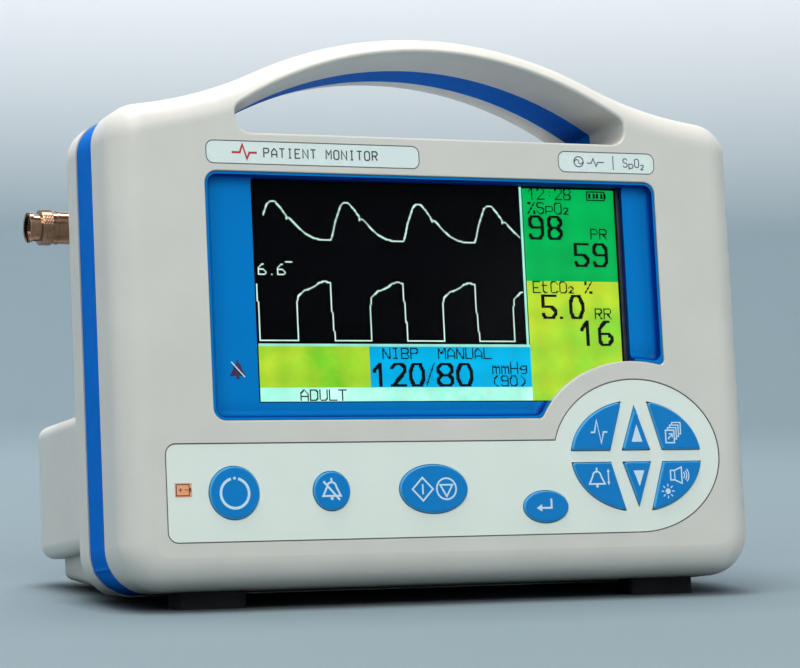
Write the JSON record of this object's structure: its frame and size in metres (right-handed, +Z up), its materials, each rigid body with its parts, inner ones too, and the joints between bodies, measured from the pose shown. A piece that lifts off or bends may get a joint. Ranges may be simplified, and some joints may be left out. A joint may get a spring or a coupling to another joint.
{
  "type": "patient monitor",
  "caption": "Portable bedside vital signs monitor: leaning three-part case with arched handle, tray-framed screen, oval key cluster, side air hose coupling and slide-out battery.",
  "frame": {"origin": "centre of the bounding box, on the surface that the feet stand on", "axes": "+X to the viewer's right across the front, +Y from the front face to the back, +Z up; the case itself leans back 8 degrees"},
  "size_m": [0.2524, 0.1254, 0.2024],
  "materials": {
    "case_grey": "fine satin texture",
    "band_blue": "satin",
    "tray_blue": "satin",
    "window_clear": "clear",
    "lcd_glass": "polished dark",
    "steel_sheet": "satin",
    "light_guide": "smooth",
    "board_green": "solder mask",
    "chip_black": "moulded",
    "brass": "turned",
    "aluminium_sheet": "rolled",
    "key_blue": "soft satin",
    "overlay_pale": "printed film",
    "label_pale": "printed film",
    "lens_amber": "translucent",
    "port_nickel": "turned and plated",
    "rubber_black": "moulded",
    "rubber_grey": "moulded",
    "tube_clear": "silicone",
    "battery_case": "moulded",
    "module_case": "moulded",
    "screw_steel": "zinc plated",
    "pump_metal": "cast",
    "contact_gold": "plated"
  },
  "bodies": {
    "case": {"air_port": "port_nickel", "air_pump": "pump_metal", "air_tubes": "tube_clear", "backlight": "light_guide", "battery_contacts": "contact_gold", "board_posts": "brass", "case_screws": "screw_steel", "charge_lens": "lens_amber", "charge_light": "light_guide", "chassis": "aluminium_sheet", "display_bracket": "steel_sheet", "display_tray": "tray_blue", "display_window": "window_clear", "frame_screws": "screw_steel", "front_case": "case_grey", "front_feet": "rubber_black", "gas_inlet": "port_nickel", "gas_module": "module_case", "gas_tube": "tube_clear", "key_domes": "steel_sheet", "keypad_board": "board_green", "keypad_overlay": "overlay_pale", "lcd_frame": "steel_sheet", "lcd_panel": "lcd_glass", "main_board": "board_green", "main_board_parts": "chip_black", "mid_band": "band_blue", "module_label": "label_pale", "mount_inserts": "brass", "name_strip": "label_pale", "panel_nuts": "brass", "power_board": "board_green", "power_board_parts": "chip_black", "power_inlet": "chip_black", "pulse_board": "board_green", "pulse_socket": "chip_black", "pump_saddle": "rubber_grey", "rating_plate": "label_pale", "rear_case": "case_grey", "rear_feet": "rubber_black", "serial_port": "steel_sheet", "solenoid_valves": "steel_sheet", "speaker": "chip_black", "valve_block": "pump_metal", "valve_bracket": "steel_sheet"},
    "coupling": {"coupling_ring": "port_nickel"},
    "stem": {"valve_stem": "brass"},
    "battery": {"battery_pack": "battery_case", "battery_door": "case_grey"},
    "key_power": {"key_power": "key_blue"},
    "key_mute": {"key_mute": "key_blue"},
    "key_start_stop": {"key_start_stop": "key_blue"},
    "key_enter": {"key_enter": "key_blue"},
    "key_waveform": {"key_waveform": "key_blue"},
    "key_up": {"key_up": "key_blue"},
    "key_pages": {"key_pages": "key_blue"},
    "key_alarm_limits": {"key_alarm_limits": "key_blue"},
    "key_down": {"key_down": "key_blue"},
    "key_sound_light": {"key_sound_light": "key_blue"}
  },
  "joints": [
    {"name": "key_power_press", "type": "slide", "parent": "case", "child": "key_power", "axis": [0, 0.9903, -0.1392], "range_m": [0, 0.0008], "stiffness_N_per_m": 300, "springref_m": -0.0005},
    {"name": "key_mute_press", "type": "slide", "parent": "case", "child": "key_mute", "axis": [0, 0.9903, -0.1392], "range_m": [0, 0.0008], "stiffness_N_per_m": 300, "springref_m": -0.0005},
    {"name": "key_start_stop_press", "type": "slide", "parent": "case", "child": "key_start_stop", "axis": [0, 0.9903, -0.1392], "range_m": [0, 0.0008], "stiffness_N_per_m": 300, "springref_m": -0.0005},
    {"name": "key_enter_press", "type": "slide", "parent": "case", "child": "key_enter", "axis": [0, 0.9903, -0.1392], "range_m": [0, 0.0008], "stiffness_N_per_m": 300, "springref_m": -0.0005},
    {"name": "key_waveform_press", "type": "slide", "parent": "case", "child": "key_waveform", "axis": [0, 0.9903, -0.1392], "range_m": [0, 0.0008], "stiffness_N_per_m": 300, "springref_m": -0.0005},
    {"name": "key_up_press", "type": "slide", "parent": "case", "child": "key_up", "axis": [0, 0.9903, -0.1392], "range_m": [0, 0.0008], "stiffness_N_per_m": 300, "springref_m": -0.0005},
    {"name": "key_pages_press", "type": "slide", "parent": "case", "child": "key_pages", "axis": [0, 0.9903, -0.1392], "range_m": [0, 0.0008], "stiffness_N_per_m": 300, "springref_m": -0.0005},
    {"name": "key_alarm_limits_press", "type": "slide", "parent": "case", "child": "key_alarm_limits", "axis": [0, 0.9903, -0.1392], "range_m": [0, 0.0008], "stiffness_N_per_m": 300, "springref_m": -0.0005},
    {"name": "key_down_press", "type": "slide", "parent": "case", "child": "key_down", "axis": [0, 0.9903, -0.1392], "range_m": [0, 0.0008], "stiffness_N_per_m": 300, "springref_m": -0.0005},
    {"name": "key_sound_light_press", "type": "slide", "parent": "case", "child": "key_sound_light", "axis": [0, 0.9903, -0.1392], "range_m": [0, 0.0008], "stiffness_N_per_m": 300, "springref_m": -0.0005},
    {"name": "coupling_turn", "type": "hinge", "parent": "case", "child": "coupling", "pos_m": [-0.12195, 0.03432, 0.13332], "axis": [1, 0, 0], "range_deg": [0, 60]},
    {"name": "stem_press", "type": "slide", "parent": "case", "child": "stem", "axis": [1, 0, 0], "range_m": [0, 0.0015], "stiffness_N_per_m": 400, "springref_m": -0.0005},
    {"name": "battery_slide", "type": "slide", "parent": "case", "child": "battery", "axis": [1, 0, 0], "range_m": [0, 0.115]}
  ]
}
